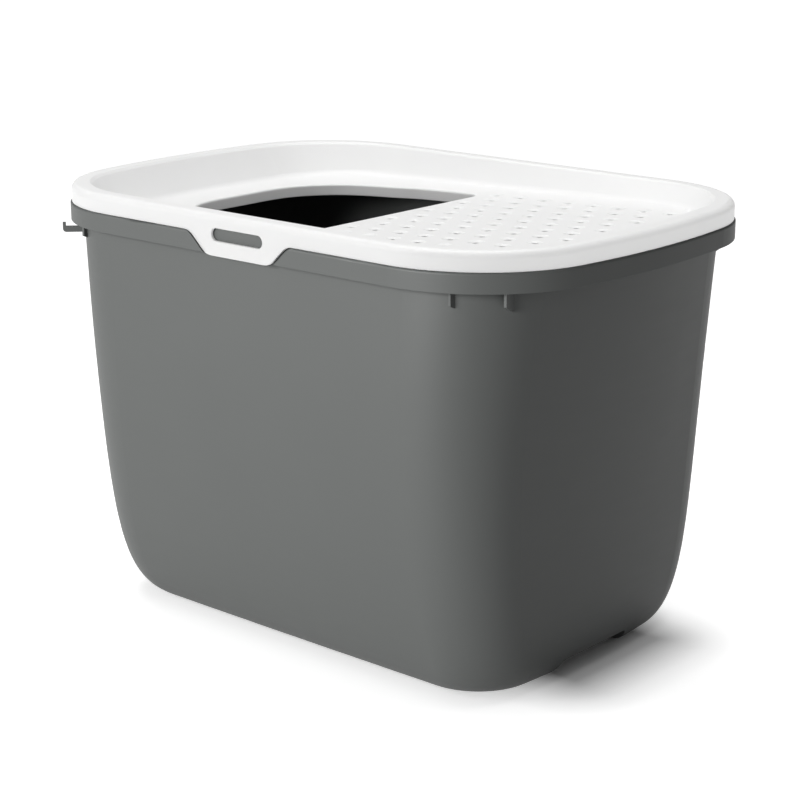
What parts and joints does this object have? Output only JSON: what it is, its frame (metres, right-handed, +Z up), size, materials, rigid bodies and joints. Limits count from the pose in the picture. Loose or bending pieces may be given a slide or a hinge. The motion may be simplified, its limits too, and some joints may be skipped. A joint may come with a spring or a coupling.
{
  "type": "top entry litter box",
  "caption": "Deep lidded litter box for a cat: a tapered tub and a lift-off dished lid with a wide entry opening and a perforated platform.",
  "frame": {"origin": "middle of the footprint, on the floor the box stands on", "axes": "+X along the length from the entry opening to the perforated platform, -Y to the front with the visible tab, +Z up"},
  "size_m": [0.5624, 0.3936, 0.3855],
  "materials": {
    "tub_grey": "satin dark grey, very fine moulded grain",
    "lid_white": "satin white, smooth"
  },
  "bodies": {
    "base": {"base_tub": "tub_grey"},
    "lid": {"lid": "lid_white"}
  },
  "joints": [
    {"name": "lid_lift", "type": "slide", "parent": "base", "child": "lid", "axis": [0, 0, 1], "range_m": [0, 0.2]}
  ]
}
